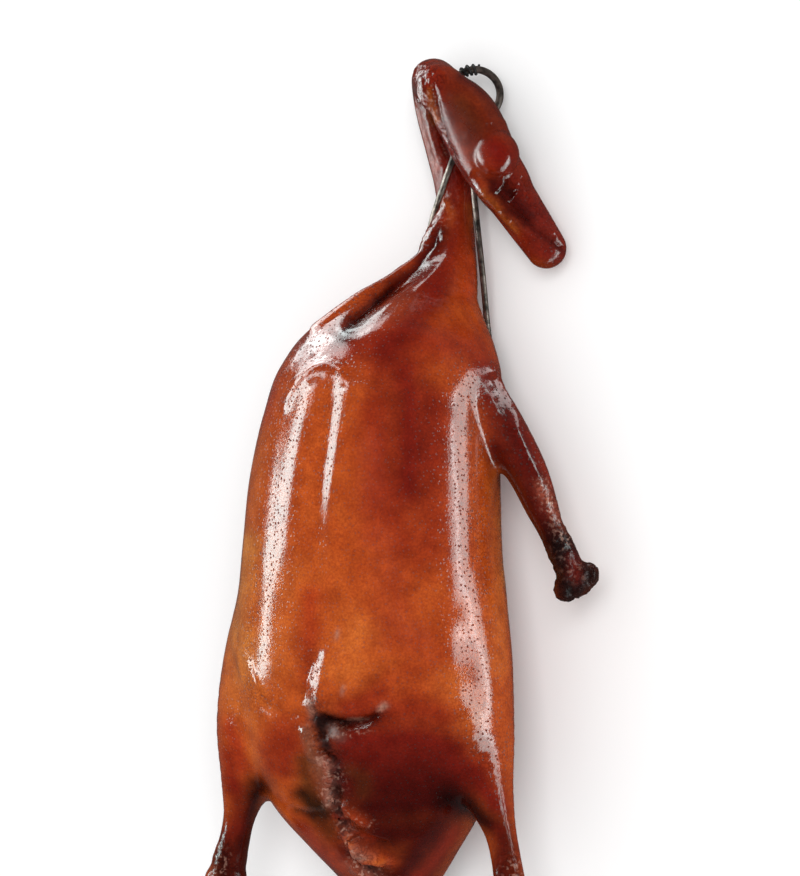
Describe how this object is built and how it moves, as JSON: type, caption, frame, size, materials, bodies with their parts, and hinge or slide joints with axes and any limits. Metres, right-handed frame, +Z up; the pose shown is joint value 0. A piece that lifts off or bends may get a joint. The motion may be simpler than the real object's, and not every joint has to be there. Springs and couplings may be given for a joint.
{
  "type": "whole roast duck on hanging hook",
  "caption": "Whole glazed roast duck lying on its back, head folded over its neck, sewn belly, trimmed wings and shanks, on a steel hanging hook.",
  "frame": {"origin": "on the small flat of the duck's back that it rests on, under the middle of the trunk", "axes": "+Y along the trunk towards the neck, +Z up through the breast, +X to the duck's left side"},
  "size_m": [0.2398, 0.5169, 0.1288],
  "materials": {
    "roast_skin": "glossy lacquered roast skin, amber to dark red",
    "hook_steel": "dark used steel"
  },
  "bodies": {
    "root": {"duck": "roast_skin", "hook": "hook_steel"}
  },
  "joints": []
}
